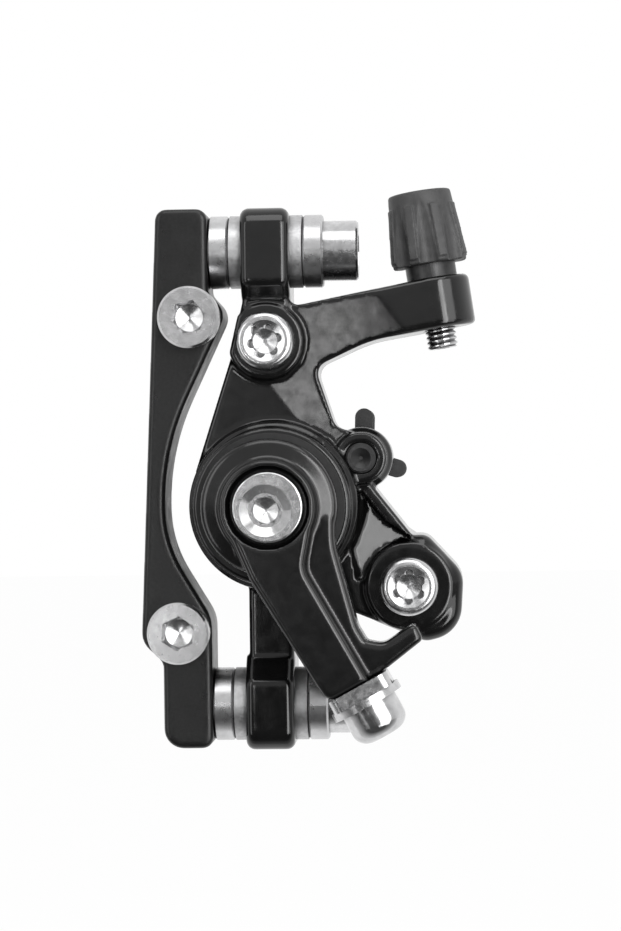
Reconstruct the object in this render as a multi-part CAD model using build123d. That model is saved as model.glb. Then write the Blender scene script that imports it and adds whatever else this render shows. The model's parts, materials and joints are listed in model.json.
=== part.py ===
from build123d import *
import math
import os

os.makedirs("parts", exist_ok=True)

# A cable-pulled disc brake caliper for a bicycle, with its frame adapter, at real size in millimetres.
#
# Every piece is drawn lying on its back: x is to the right, y is up and z points outboard, towards the
# side with the lever arm. Each is stood up when it is written, so that in the finished part X is to the
# right, Z is up and the outboard side faces -Y. The origin is where the piston axis crosses the rotor's
# middle plane.

# Mounting to the frame and of the caliper on the adapter
TAB_BOLT_PITCH = 51.0
TAB_BOLT_UPPER = (-13.2, 30.65)
TAB_BOLT_SLANT = 2.6
POST_PITCH = 74.0
POST_UPPER_Y = 41.6
POST_FACE_X = -10.3
POST_DEPTH = 12.5

# Places of the other axes, seen from outboard
UPPER_SCREW = (-1.0, 26.7)
LOWER_SCREW = (21.7, -13.3)
PAD_PIN = (14.2, 7.6)
CABLE_STOP = (26.1, 36.75)
CABLE_STOP_DEPTH = 12.6
CABLE_STOP_TILT = 8.2

# Clearances
THREAD_GAP = 0.05
RUNNING_GAP = 0.05
BOLT_GAP = 0.3
PAD_GAP = 0.3
SEAT_GAP = 0.02
SOFT_GAP = 0.15
FLANGE_GAP = 0.4

# Rotor, pads and the slot between the two halves
ROTOR_ROOM = 2.8
ROTOR_REACH = 81.3
ROTOR_AXLE_DISTANCE = 69.0
LINING_THICK = 2.2
PLATE_THICK = 1.8
PLATE_SIZE = 20.5
PLATE_CORNER = 3.5
LINING_SIZE = 18.0
PAD_NECK_WIDTH = 8.5
PAD_HORN_WIDTH = 3.0
PAD_HORN_LENGTHS = (8.3, 7.3)
PAD_HORN_ANGLES = (60.0, -46.0)
STRIP_THICK = 0.4
SLOT_MARGIN = 0.3

# Housing and the ball-and-ramp drive inside it
MAIN_BORE_R = 11.0
HOUSING_TOP = 24.0
HOUSING_BASE = (0.4, 0.7)
FACET_SLOPE = 5.5
POCKET_SLOPE = 11.0
POCKET_TURN = 180.0
FACET_TURN = 35.5
HOUSING_STEPS = ((14.2, 15.0), (13.7, 19.6), (12.7, HOUSING_TOP))
PISTON_LENGTH = 5.0
PISTON_TRAVEL = 1.6
THRUST_THICK = 0.8
SPINDLE_FLANGE_THICK = 3.6
SPINDLE_R = 4.5
SPINDLE_HEX = 7.6
BALL_SHARE = 0.33
BALL_COUNT = 3
SINK_SHARE = 0.4
RAMP_THICK = 3.5
ARM_SWING = 35.0
BUSH_WALL = 1.45
SPRING_WIRE = 1.2
SPRING_TURNS = 2.0
SPRING_R = 9.0
CHAMBER_GAP = 0.8
SEAL_R = (9.9, 11.8)
SEAL_THICK = 2.5

# Lever arm
ARM_HUB_R = 10.8
ARM_HUB_THICK = 5.1
ARM_PLATE_THICK = 5.5
ARM_BAND_THICK = 7.7
ARM_END_DROP = 1.9
ARM_COLLAR_R = 7.4
ARM_RECESS_R = 6.55
ARM_BOLT_FLANGE_R = 5.65
ARM_BOLT_FLANGE_THICK = 2.2
ARM_BOLT_LENGTH = 14.0
CLAMP_RADIUS = 31.3
CLAMP_ANGLE = -64.2
ARM_END_WIDTH = 10.2
CLAMP_TURN = -61.5

# Small hardware
M6_R = 3.0
TAB_HEAD_R = 5.0
TAB_HEAD_THICK = 3.6
TAB_BOLT_LENGTH = 16.0
TAB_WAIST_R = 2.7
POST_HEAD_R = 4.9
POST_HEAD_THICK = 5.7
POST_BOLT_LENGTH = 25.0
WASHER_R = 5.95
CONCAVE_THICK = 3.25
CONVEX_THICK = 2.1
BALL_SEAT_R = 14.0
HEAD_CHAMFER = 0.35
SOCKET_SHARE = 0.72
SOCKET_DRAFT = 6.0
SOCKET_CONE = 0.8
BOLT_KEY = 5.0
STAR_R = 2.9
STAR_CORE = 0.76
STAR_LOBE = 0.28
STAR_DISH = 0.45
ARM_BOLT_KEY = 4.2
ARM_BOLT_DISH = 0.9
TAB_BOLT_TURNS = (13, 25)
BODY_SCREW_R = 2.5
BODY_SCREW_LENGTH = 28.0
BODY_SCREW_HEAD_R = 4.75
BODY_SCREW_HEAD_THICK = 3.0
CLAMP_M = 2.5
CLAMP_BOLT_LENGTH = 8.0
CLAMP_HEAD_R = 4.6
CLAMP_HEAD_THICK = 5.5
CLAMP_PLATE_SIZE = 10.4
CLAMP_PLATE_THICK = 2.2
CLAMP_WASHER_R = 5.9
CLAMP_WASHER_THICK = 1.25
CABLE_R = 0.8
PIN_R = 1.5
PIN_HEAD_R = 2.45
PIN_HEAD_THICK = 1.2
PIN_SLIDE_GAP = 0.08
PIN_TIP = -14.0
CLIP_R = 2.7
CLIP_THICK = 0.6
CLIP_GAP = 0.2
SOCKET_OFFSET = (-0.35, -0.45)
CABLE_HOLE_R = 1.1
ORING_Z = -12.6
CAGE_GAP = 0.2
BARREL_THREAD_R = 2.5
BARREL_SHOULDER_R = 3.6
HOUSING_SOCKET_R = 2.55
HOUSING_SOCKET_DEPTH = 7.0
KNOB_TOP_R = 5.1
KNOB_FOOT_R = 6.3
KNOB_LENGTH = 11.9
KNOB_FLUTES = 8
KNOB_FLUTE_R = 1.8
KNOB_RIB_WIDTH = 1.5
KNOB_RIB_RISE = 0.35
COLLAR_R = 4.1
COLLAR_LENGTH = 2.3
STOP_BOSS_R = 5.9
STOP_BOSS_LENGTH = 8.3
THREAD_SHOWN = 3.2
ADJUSTER_R = 9.5
ADJUSTER_LENGTH = 9.4
ORING_WIRE_R = 0.75

# Castings
ADAPTER_BACK = 6.5
ADAPTER_THICK = 12.0
EAR_WIDTH = 8.0
EAR_BACK = 4.5
EAR_FRONT = 20.3
EAR_SLOT = 11.0
WEB_FRONT = 16.2
UPPER_BOSS_R = 6.2
UPPER_BOSS_FRONT = 18.2
LOWER_BOSS_R = 7.2
INNER_BOSS_R = 5.0
LOWER_BOSS_FRONT = 16.8
STOP_ARM_BACK = 6.0
STOP_ARM_FRONT = 18.4
PIN_BOSS_R = 4.2
PIN_BOSS_FRONT = 18.0
PIN_BASE_R = 5.1
PIN_BASE_FRONT = 15.0
POCKET_FLOOR = 13.6
RAIL_FRONT = 16.0
LOBE_FRONT = 16.5
INNER_BACK = -11.5
INNER_RING_R = 13.2
INNER_RING_BACK = -16.0
ADAPTER_END = 6.8
ADAPTER_SIDE = 5.5
ADAPTER_FOOT_SIDE = 2.8
ADAPTER_WAIST = 3.35
ADAPTER_CORNER = 1.8
EAR_CROWN = 3.2
EAR_SIDE_ROUND = 1.4
EAR_FOOT = 16.8
UPPER_EAR = (6.8, 5.6, 8.8)
LOWER_EAR = (7.1, 4.1, 8.1)
NECK_FRONT = 17.6
STEM_FRONT = 17.0

# Values that follow from the ones above
LINING_IN = ROTOR_ROOM / 2
PLATE_IN = LINING_IN + LINING_THICK
PLATE_OUT = PLATE_IN + PLATE_THICK
SLOT_HALF = PLATE_OUT + SLOT_MARGIN
PAD_ANGLE = math.degrees(math.atan2(PAD_PIN[1], PAD_PIN[0]))
ROTOR_AXLE = (
    -ROTOR_AXLE_DISTANCE * math.cos(math.radians(PAD_ANGLE)),
    -ROTOR_AXLE_DISTANCE * math.sin(math.radians(PAD_ANGLE)),
)
SLANT = math.radians(TAB_BOLT_SLANT)
TAB_BOLT_LOWER = (
    TAB_BOLT_UPPER[0] - TAB_BOLT_PITCH * math.sin(SLANT),
    TAB_BOLT_UPPER[1] - TAB_BOLT_PITCH * math.cos(SLANT),
)
TAB_BOLTS = (TAB_BOLT_UPPER, TAB_BOLT_LOWER)
POST_LOWER_Y = POST_UPPER_Y - POST_PITCH
POSTS = (POST_UPPER_Y, POST_LOWER_Y)
ADAPTER_FRONT = ADAPTER_BACK + ADAPTER_THICK
EAR_LEFT = POST_FACE_X + CONCAVE_THICK + CONVEX_THICK
EAR_RIGHT = EAR_LEFT + EAR_WIDTH
POST_HEAD_X = EAR_RIGHT + CONVEX_THICK + CONCAVE_THICK
SPINDLE_FLANGE_R = MAIN_BORE_R - FLANGE_GAP
BALL_RING_R = (SPINDLE_FLANGE_R + SPINDLE_R) / 2 + 0.35
BALL_R = BALL_SHARE * (SPINDLE_FLANGE_R - SPINDLE_R)
PISTON_TOP = PLATE_OUT + PISTON_LENGTH
THRUST_TOP = PISTON_TOP + THRUST_THICK
FLANGE_TOP = THRUST_TOP + SPINDLE_FLANGE_THICK
BALL_Z = FLANGE_TOP + BALL_R * (1 - SINK_SHARE)
CAGE_THICK = BALL_Z - FLANGE_TOP - 2 * CAGE_GAP
BORE_TOP = BALL_Z + RAMP_THICK + SEAT_GAP
BUSH_R = SPINDLE_R + BUSH_WALL
CHAMBER_IN = SPRING_R - SPRING_WIRE / 2 - CHAMBER_GAP
CHAMBER_OUT = SPRING_R + SPRING_WIRE / 2 + CHAMBER_GAP
CHAMBER_FLOOR = BORE_TOP + 1.2
ARM_UNDER = HOUSING_TOP + SEAL_THICK
ARM_HUB_TOP = ARM_UNDER + ARM_HUB_THICK
ARM_PLATE_TOP = ARM_UNDER + ARM_PLATE_THICK
ARM_BAND_TOP = ARM_UNDER + ARM_BAND_THICK
ARM_END_LOW = ARM_UNDER - ARM_END_DROP
SPRING_LOW = CHAMBER_FLOOR + SPRING_WIRE / 2 + SOFT_GAP
SPRING_HEIGHT = ARM_UNDER - PISTON_TRAVEL - RUNNING_GAP - SPRING_WIRE / 2 - SPRING_LOW
RECESS_FLOOR = ARM_PLATE_TOP - 0.3
CLAMP_CENTRE = (
    CLAMP_RADIUS * math.cos(math.radians(CLAMP_ANGLE)),
    CLAMP_RADIUS * math.sin(math.radians(CLAMP_ANGLE)),
)
CLAMP_DEPTH = (ARM_END_LOW + ARM_BAND_TOP) / 2
DOME_RISE = BALL_SEAT_R - math.sqrt(BALL_SEAT_R ** 2 - (WASHER_R - 0.4) ** 2)

RISE = (Align.CENTER, Align.CENTER, Align.MIN)


def disc(radius, low, high, at=(0, 0)):
    """A round bar along z."""
    return Pos(at[0], at[1], low) * Cylinder(radius, high - low, align=RISE)


def ring(outer, inner, low, high, at=(0, 0)):
    """A round tube along z."""
    return disc(outer, low, high, at) - disc(inner, low - 1, high + 1, at)


def prism(outline, low, high):
    """A flat outline raised between two levels."""
    return extrude(Pos(0, 0, low) * outline, high - low)


def hexagon(across_flats, low, high, at=(0, 0), turn=0):
    outline = RegularPolygon(across_flats / 2, 6, major_radius=False)
    return prism(Pos(at[0], at[1]) * Rot(0, 0, turn) * outline, low, high)


def polygon(*points):
    return make_face(Polyline(*points, close=True))


def capsule(start, end, radius):
    """An outline with round ends between two points."""
    middle = ((start[0] + end[0]) / 2, (start[1] + end[1]) / 2)
    length = math.dist(start, end)
    angle = math.degrees(math.atan2(end[1] - start[1], end[0] - start[0]))
    return Pos(*middle) * Rot(0, 0, angle) * SlotCenterToCenter(length, 2 * radius)


def rounded(*corners):
    """An outline from its corners (x, y, radius), each corner rounded by a tangent arc."""
    edges = []
    ends = []
    for index, (x, y, radius) in enumerate(corners):
        here = Vector(x, y)
        back = (Vector(*corners[index - 1][:2]) - here).normalized()
        onward = (Vector(*corners[(index + 1) % len(corners)][:2]) - here).normalized()
        if radius == 0:
            ends.append((here, here))
            continue
        half = math.radians(back.get_angle(onward)) / 2
        reach = radius / math.tan(half)
        inward = (back + onward).normalized()
        middle = here + inward * (radius / math.sin(half) - radius)
        ends.append((here + back * reach, here + onward * reach))
        edges.append(ThreePointArc(ends[-1][0], middle, ends[-1][1]))
    for index, (start, end) in enumerate(ends):
        edges.append(Line(end, ends[(index + 1) % len(ends)][0]))
    return make_face(edges)


def soften(solid, radius, level, hidden=None):
    """Round the edges of the flat face at one level, but not those that meet at a hidden corner."""
    faces = solid.faces().filter_by(Plane.XY)
    edges = faces.sort_by(lambda one: abs(one.center().Z - level))[0].edges()
    if hidden:
        corner = Vector(*hidden, level)
        edges = [one for one in edges if min((one @ 0 - corner).length, (one @ 1 - corner).length) > 0.1]
    return fillet(edges, radius)


def along_x(solid):
    """Turn a piece drawn along z so that it runs along x."""
    return Rot(0, 90, 0) * solid


def polar(radius, degrees, at=(0, 0)):
    return (
        at[0] + radius * math.cos(math.radians(degrees)),
        at[1] + radius * math.sin(math.radians(degrees)),
    )


def write(name, *solids):
    """Stand the piece up and write it, as one solid or as a group of separate ones."""
    standing = [Rot(90, 0, 0) * one for one in solids]
    shape = standing[0] if len(standing) == 1 else Compound(children=standing)
    shape.label = name
    export_step(shape, f"parts/{name}.step")


# Frame adapter

def adapter_outline():
    """The waisted bar seen from outboard, drawn round the two pairs of bolt axes."""
    up_x, up_y = TAB_BOLT_UPPER
    low_x, low_y = TAB_BOLT_LOWER
    top = POST_UPPER_Y + ADAPTER_END
    foot = POST_LOWER_Y - ADAPTER_END
    foot_x = low_x - ADAPTER_FOOT_SIDE
    waist_x = (up_x + low_x) / 2 - ADAPTER_WAIST
    return rounded(
        (POST_FACE_X, top, ADAPTER_CORNER),
        (POST_FACE_X, POST_UPPER_Y - WASHER_R - 0.8, 1.2),
        (up_x + 5.9, up_y + 0.9, 3.0),
        (waist_x, up_y - 21.2, 40.0),
        (waist_x, low_y + 14.6, 20.0),
        (POST_FACE_X, low_y + 2.3, 6.0),
        (POST_FACE_X, foot, ADAPTER_CORNER),
        (foot_x, foot, 3.2),
        (foot_x, low_y - 4.9, 2.0),
        (low_x - 6.3, low_y - 1.6, 3.5),
        (up_x - ADAPTER_SIDE, top, ADAPTER_CORNER),
    )


def adapter_bracket():
    solid = prism(adapter_outline(), ADAPTER_BACK, ADAPTER_FRONT)
    solid = soften(solid, 0.8, ADAPTER_FRONT)
    solid = soften(solid, 0.6, ADAPTER_BACK)
    for place in TAB_BOLTS:
        solid -= disc(M6_R + THREAD_GAP, ADAPTER_BACK - 1, ADAPTER_FRONT + 1, place)
    for height in POSTS:
        hole = along_x(disc(M6_R + THREAD_GAP, -30, 0))
        solid -= Pos(POST_FACE_X + 1, height, POST_DEPTH) * hole
    return solid


# Screws and washers

def key_socket(outline, reach, depth, top):
    """A key's hollow: its walls close in a little on the way down and its floor is a shallow cone."""
    floor_r = reach - depth * math.tan(math.radians(SOCKET_DRAFT))
    hollow = extrude(Pos(0, 0, top) * outline, -depth, taper=SOCKET_DRAFT)
    return hollow + Pos(0, 0, top - depth - SOCKET_CONE) * Cone(0.2, floor_r, SOCKET_CONE, align=RISE)


def hexagon_socket(across_flats, depth, top):
    outline = RegularPolygon(across_flats / 2, 6, major_radius=False)
    return key_socket(outline, across_flats / 2, depth, top)


def socket_bolt(head_r, head_thick, length):
    """A bolt with a hexagon socket: the head stands on z = 0 and the shank hangs below it."""
    head = disc(head_r, 0, head_thick)
    head = chamfer(head.faces().sort_by(Axis.Z)[-1].edges(), HEAD_CHAMFER)
    head -= hexagon_socket(BOLT_KEY, head_thick * SOCKET_SHARE, head_thick)
    return head + threaded_shank(M6_R, length)


def threaded_shank(radius, length):
    shank = disc(radius, -length, 0.1)
    return chamfer(shank.faces().sort_by(Axis.Z)[0].edges(), 0.5)


def star(radius, lobes=6):
    """The outline of a six-lobe socket."""
    outline = Circle(radius * STAR_CORE)
    for index in range(lobes):
        outline += Pos(*polar(radius * (1 - STAR_LOBE), index * 360 / lobes)) * Circle(radius * STAR_LOBE)
    return outline


def body_screw(length):
    """A button-headed screw with a six-lobe socket, its head seated on z = 0."""
    head = disc(BODY_SCREW_HEAD_R, 0, BODY_SCREW_HEAD_THICK)
    head = fillet(head.faces().sort_by(Axis.Z)[-1].edges(), 1.1)
    core = STAR_R * STAR_CORE
    head -= key_socket(star(STAR_R), core, BODY_SCREW_HEAD_THICK * SOCKET_SHARE, BODY_SCREW_HEAD_THICK)
    dish = Cone(core, STAR_R + STAR_DISH, STAR_DISH, align=RISE)
    head -= Pos(0, 0, BODY_SCREW_HEAD_THICK - STAR_DISH) * dish
    return head + threaded_shank(BODY_SCREW_R, length)


def tab_bolts():
    """Bolts with a reduced shank inside the adapter and their thread standing out behind it."""
    bolt = socket_bolt(TAB_HEAD_R, TAB_HEAD_THICK, TAB_BOLT_LENGTH)
    bolt -= disc(M6_R + 1, -ADAPTER_THICK - SOFT_GAP, 0) - disc(TAB_WAIST_R, -ADAPTER_THICK - 1, 1)
    solids = []
    for (x, y), turn in zip(TAB_BOLTS, TAB_BOLT_TURNS):
        solids.append(Pos(x, y, ADAPTER_FRONT) * Rot(0, 0, turn) * bolt)
    return solids


def post_bolts():
    bolt = socket_bolt(POST_HEAD_R, POST_HEAD_THICK, POST_BOLT_LENGTH)
    return [Pos(POST_HEAD_X, y, POST_DEPTH) * along_x(bolt) for y in POSTS]


def body_screws():
    upper = Pos(*UPPER_SCREW, UPPER_BOSS_FRONT) * Rot(0, 0, 12) * body_screw(BODY_SCREW_LENGTH)
    lower_drop = UPPER_BOSS_FRONT - LOWER_BOSS_FRONT
    lower = Pos(*LOWER_SCREW, LOWER_BOSS_FRONT) * Rot(0, 0, 27) * body_screw(BODY_SCREW_LENGTH - lower_drop)
    return [upper, lower]


def cup_washer():
    """Thick washer along z: a flat back on z = 0 and a round seat in its other face."""
    blank = disc(WASHER_R, 0, CONCAVE_THICK)
    blank = chamfer(blank.edges(), 0.3)
    seat = Pos(0, 0, CONCAVE_THICK + BALL_SEAT_R - DOME_RISE) * Sphere(BALL_SEAT_R)
    return blank - seat - disc(M6_R + BOLT_GAP, -1, CONCAVE_THICK + 1)


def domed_washer():
    """Domed washer along z: flat on z = 0, with its dome standing into the cup beyond it."""
    top = CONVEX_THICK + DOME_RISE - SEAT_GAP
    blank = disc(WASHER_R, 0, top) & (Pos(0, 0, top - BALL_SEAT_R) * Sphere(BALL_SEAT_R))
    return blank - disc(M6_R + BOLT_GAP, -1, top + 1)


def facing_x(solid, x, y, side):
    """Stand a washer at x with its z axis pointing right (1) or left (-1)."""
    return Pos(x, y, POST_DEPTH) * Rot(0, 90 * side, 0) * solid


def cup_washers():
    solids = []
    for y in POSTS:
        solids.append(facing_x(cup_washer(), POST_FACE_X, y, 1))
        solids.append(facing_x(cup_washer(), POST_HEAD_X, y, -1))
    return solids


def domed_washers():
    solids = []
    for y in POSTS:
        solids.append(facing_x(domed_washer(), EAR_LEFT, y, -1))
        solids.append(facing_x(domed_washer(), EAR_RIGHT, y, 1))
    return solids


# The two halves of the body

def ear(y, outward, reach, start, end):
    """The block that a post bolt passes through, its front sloping down to the web behind it."""
    outline = rounded(
        (reach, EAR_BACK, 2.2),
        (reach, EAR_FRONT, EAR_CROWN),
        (-start, EAR_FRONT, 1.2),
        (-end, EAR_FOOT, 0),
        (-end, EAR_BACK, 0),
    )
    side = Plane((EAR_LEFT, y, 0), x_dir=(0, outward, 0), z_dir=(outward, 0, 0))
    block = extrude(side * outline, EAR_WIDTH)
    if outward < 0:
        block = Pos(EAR_WIDTH, 0, 0) * block
    ends = []
    for edge in block.edges():
        on_side = min(abs(edge.center().X - EAR_LEFT), abs(edge.center().X - EAR_RIGHT)) < 0.01
        if on_side and abs(edge.center().Y - (y - outward * end)) > 0.5:
            ends.append(edge)
    return fillet(ends, EAR_SIDE_ROUND)


def ear_slot(y):
    outline = SlotOverall(EAR_SLOT, 2 * (M6_R + BOLT_GAP))
    bar = extrude(outline, EAR_WIDTH + 4, both=True)
    return Pos((EAR_LEFT + EAR_RIGHT) / 2, y, POST_DEPTH) * Rot(0, 90, 0) * bar


def tilted():
    """The frame of the cable stop: z runs up along the barrel from the top of its boss."""
    up = (-math.sin(math.radians(CABLE_STOP_TILT)), math.cos(math.radians(CABLE_STOP_TILT)), 0)
    return Location(Plane((*CABLE_STOP, CABLE_STOP_DEPTH), x_dir=(0, 0, 1), z_dir=up))


def stop_boss():
    boss = disc(STOP_BOSS_R, -STOP_BOSS_LENGTH, 0)
    return tilted() * fillet(boss.edges(), 0.8)


def stop_arm_outline():
    """The arm that carries the cable stop, with the wall that runs down to the pad pin."""
    screw_x, screw_y = UPPER_SCREW
    stop_x, stop_y = CABLE_STOP
    pin_x, pin_y = PAD_PIN
    return rounded(
        (EAR_RIGHT - 0.3, screw_y + 11.0, 0),
        (EAR_RIGHT - 0.3, screw_y + 5.6, 1.6),
        (stop_x - 0.5, stop_y - 0.1, 0),
        (stop_x + 1.0, stop_y - STOP_BOSS_LENGTH, 0),
        (screw_x + 17.0, screw_y - 0.1, 20.0),
        (screw_x + 7.9, screw_y - 4.2, 2.2),
        (pin_x - 4.1, pin_y + 5.2, 2.0),
        (pin_x + 0.5, pin_y + 3.6, 0),
        (pin_x - 2.0, pin_y - 3.0, 0),
        (screw_x - 1.0, pin_y, 0),
        (screw_x - 1.0, screw_y + 11.0, 0),
    )


def sloping(corner, slope, turn):
    """A frame whose z axis leans over, so that a face cut along it rises in the direction of the turn."""
    lean = math.radians(slope)
    across = (math.cos(math.radians(turn)), math.sin(math.radians(turn)))
    normal = (-math.sin(lean) * across[0], -math.sin(lean) * across[1], math.cos(lean))
    return Location(Plane(corner, x_dir=(-across[1], across[0], 0), z_dir=normal))


def facet():
    """What is taken off the stop arm so that its front slopes down to the web at the facet's edge."""
    corner = (UPPER_SCREW[0] + 0.8, UPPER_SCREW[1] - 6.3, WEB_FRONT + 0.05)
    return sloping(corner, FACET_SLOPE, FACET_TURN) * Box(90, 90, 12, align=RISE)


def web_outline():
    """The flat web from the housing up to the upper screw."""
    x, y = UPPER_SCREW
    return rounded(
        (-12.9, 5.6, 0),
        (x - 5.9, y - 2.6, 0),
        (x + 2.0, y - 3.0, 0),
        (x + 0.8, y - 6.3, 0),
        (x + 4.3, y - 11.2, 0),
        (12.5, 8.0, 0),
        (0, 0, 0),
    )


def strut_outline():
    """The plate from the pad pin and the housing to the lower screw."""
    x, y = LOWER_SCREW
    pin_x, pin_y = PAD_PIN
    return rounded(
        (0, 0, 0),
        (pin_x - 3.0, pin_y - 1.0, 0),
        (pin_x + 1.4, pin_y - 4.0, 0.8),
        (x + 0.7, y + 8.2, 0),
        (x + 0.6, y, 0),
        (x - 4.0, y - 6.2, 0),
        (x - 13.7, y - 2.3, 0),
    )


def lobe_outline():
    """The round-shouldered lobe on the far side of the lower screw."""
    x, y = LOWER_SCREW
    return rounded(
        (x - 1.5, y - 1.5, 0),
        (x + 0.4, y + 8.3, 0),
        (x + 3.0, y + 8.4, 2.4),
        (x + 8.9, y + 2.0, 4.5),
        (x + 8.3, y - 7.7, 5.5),
        (x + 2.6, y - 9.1, 2.6),
        (x - 5.6, y - 5.7, 0),
    )


def pocket():
    """The three-sided hollow between the housing, the strut and the lower boss, its floor sloping."""
    x, y = LOWER_SCREW
    pin_x, pin_y = PAD_PIN
    outline = polygon(
        (pin_x - 0.3, pin_y - 5.0),
        (pin_x + 3.7, pin_y - 10.2),
        (x + 1.4, y + 7.4),
        (x - 5.6, y + 4.6),
        (x - 7.3, y + 1.0),
        (x - 8.5, y + 1.0),
        (x - 9.6, y + 7.2),
        (0, 0),
    )
    corner = (x - 8.6, y - 1.0, POCKET_FLOOR)
    above = sloping(corner, POCKET_SLOPE, POCKET_TURN) * Box(60, 60, 12, align=RISE)
    return prism(outline, 0, RAIL_FRONT + 1) & above


def housing():
    solid = None
    for (radius, top), place in zip(HOUSING_STEPS, (HOUSING_BASE, (0, 0), (0, 0))):
        step = disc(radius, SLOT_HALF, top, place)
        step = fillet(step.faces().sort_by(Axis.Z)[-1].edges(), 0.6)
        solid = step if solid is None else solid + step
    return solid


def pad_room():
    """Everything that the pads, the rotor and their slot take out of the body."""
    rotor = disc(ROTOR_REACH, -SLOT_HALF, SLOT_HALF, ROTOR_AXLE)
    return rotor + prism(offset(plate_outline(), PAD_GAP), -SLOT_HALF, SLOT_HALF)


def upper_boss():
    """The seat of the upper screw, cut straight on the side towards the adapter."""
    x, y = UPPER_SCREW
    boss = disc(UPPER_BOSS_R, 0, UPPER_BOSS_FRONT, UPPER_SCREW)
    beside = polygon((x - 3.3, y + 9.5), (x - 12.0, y + 9.5), (x - 12.0, y - 8.1), (x - 7.4, y - 8.1))
    boss -= prism(beside, -1, UPPER_BOSS_FRONT + 1)
    return soften(boss, 0.4, UPPER_BOSS_FRONT)


def outer_body():
    solid = housing()
    web = soften(prism(web_outline(), SLOT_HALF, WEB_FRONT), 0.6, WEB_FRONT)
    arm = soften(prism(stop_arm_outline(), STOP_ARM_BACK, STOP_ARM_FRONT), 0.8, STOP_ARM_FRONT)
    arm -= facet()
    strut = soften(prism(strut_outline(), 0, RAIL_FRONT), 0.5, RAIL_FRONT)
    strut -= pocket()
    inside = (LOWER_SCREW[0] - 1.5, LOWER_SCREW[1] - 1.5)
    lobe = soften(prism(lobe_outline(), 0, LOBE_FRONT), 2.0, LOBE_FRONT, inside)
    solid += [web, arm, strut, lobe, stop_boss()]
    solid += upper_boss()
    solid += soften(disc(LOWER_BOSS_R, 0, LOWER_BOSS_FRONT, LOWER_SCREW), 0.4, LOWER_BOSS_FRONT)
    solid += soften(disc(PIN_BOSS_R, SLOT_HALF, PIN_BOSS_FRONT, PAD_PIN), 0.4, PIN_BOSS_FRONT)
    solid += soften(disc(PIN_BASE_R, SLOT_HALF, PIN_BASE_FRONT, PAD_PIN), 1.0, PIN_BASE_FRONT)
    solid += [ear(POST_UPPER_Y, 1, *UPPER_EAR), ear(POST_LOWER_Y, -1, *LOWER_EAR)]
    neck = polygon(
        (EAR_LEFT + 0.3, UPPER_SCREW[1] + 7.0),
        (EAR_LEFT + 0.3, POST_UPPER_Y - 4),
        (EAR_RIGHT - 0.2, POST_UPPER_Y - 4),
        (EAR_RIGHT - 0.2, UPPER_SCREW[1] + 2),
        (UPPER_SCREW[0], UPPER_SCREW[1] - 3.0),
        (UPPER_SCREW[0] - 5.9, UPPER_SCREW[1] - 2.5),
    )
    solid += soften(prism(neck, EAR_BACK + 0.5, NECK_FRONT), 0.6, NECK_FRONT)
    stem = polygon(
        (EAR_LEFT + 0.6, 0),
        (EAR_RIGHT - 0.1, 0),
        (EAR_RIGHT - 0.1, POST_LOWER_Y + 3),
        (EAR_LEFT + 0.6, POST_LOWER_Y + 3),
    )
    solid += soften(prism(stem, SLOT_HALF, STEM_FRONT), 0.8, STEM_FRONT)
    for y in POSTS:
        solid -= ear_slot(y)
    solid -= disc(MAIN_BORE_R, SLOT_HALF - 1, BORE_TOP)
    solid -= disc(BUSH_R, BORE_TOP - 1, HOUSING_TOP + 1)
    solid -= ring(CHAMBER_OUT, CHAMBER_IN, CHAMBER_FLOOR, HOUSING_TOP + 1)
    solid -= disc(BODY_SCREW_R + BOLT_GAP, -1, UPPER_BOSS_FRONT + 1, UPPER_SCREW)
    solid -= disc(BODY_SCREW_R + BOLT_GAP, -1, LOWER_BOSS_FRONT + 1, LOWER_SCREW)
    solid -= disc(PIN_R + SEAT_GAP, 0, PIN_BOSS_FRONT + 1, PAD_PIN)
    solid -= disc(PIN_HEAD_R + SEAT_GAP, PIN_BOSS_FRONT - PIN_HEAD_THICK, PIN_BOSS_FRONT + 1, PAD_PIN)
    solid -= tilted() * disc(BARREL_THREAD_R + THREAD_GAP, -STOP_BOSS_LENGTH - 1, 1)
    return solid - pad_room()


def inner_body():
    solid = ring(INNER_RING_R, 1, INNER_RING_BACK, -SLOT_HALF)
    solid = fillet(solid.faces().sort_by(Axis.Z)[0].outer_wire().edges(), 0.8)
    upper = capsule((0, 8), UPPER_SCREW, INNER_BOSS_R)
    solid += soften(prism(upper, INNER_BACK, 0), 1.0, INNER_BACK)
    lower = capsule((7, -3), LOWER_SCREW, LOWER_BOSS_R)
    solid += soften(prism(lower, INNER_BACK, 0), 1.0, INNER_BACK)
    side = capsule((6, 3), PAD_PIN, PIN_BOSS_R)
    solid += soften(prism(side, INNER_BACK, -SLOT_HALF), 0.8, INNER_BACK)
    solid -= disc(ADJUSTER_R + RUNNING_GAP, INNER_RING_BACK - 1, 1)
    solid -= disc(BODY_SCREW_R + THREAD_GAP, INNER_BACK - 1, 1, UPPER_SCREW)
    solid -= disc(BODY_SCREW_R + THREAD_GAP, INNER_BACK - 1, 1, LOWER_SCREW)
    solid -= disc(PIN_R + SEAT_GAP, INNER_BACK - 1, 0, PAD_PIN)
    return solid - pad_room()


# Pads and what holds them

def plate_outline():
    """The backing plate: a square on the piston with a neck and two horns round the pin."""
    square = Rot(0, 0, PAD_ANGLE) * RectangleRounded(PLATE_SIZE, PLATE_SIZE, PLATE_CORNER)
    neck = capsule(polar(PLATE_SIZE / 2 - 2, PAD_ANGLE), PAD_PIN, PAD_NECK_WIDTH / 2)
    outline = square + neck
    for angle, length in zip(PAD_HORN_ANGLES, PAD_HORN_LENGTHS):
        tip = polar(length - PAD_HORN_WIDTH / 2, PAD_ANGLE + angle, PAD_PIN)
        outline += capsule(PAD_PIN, tip, PAD_HORN_WIDTH / 2)
    return outline


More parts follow.
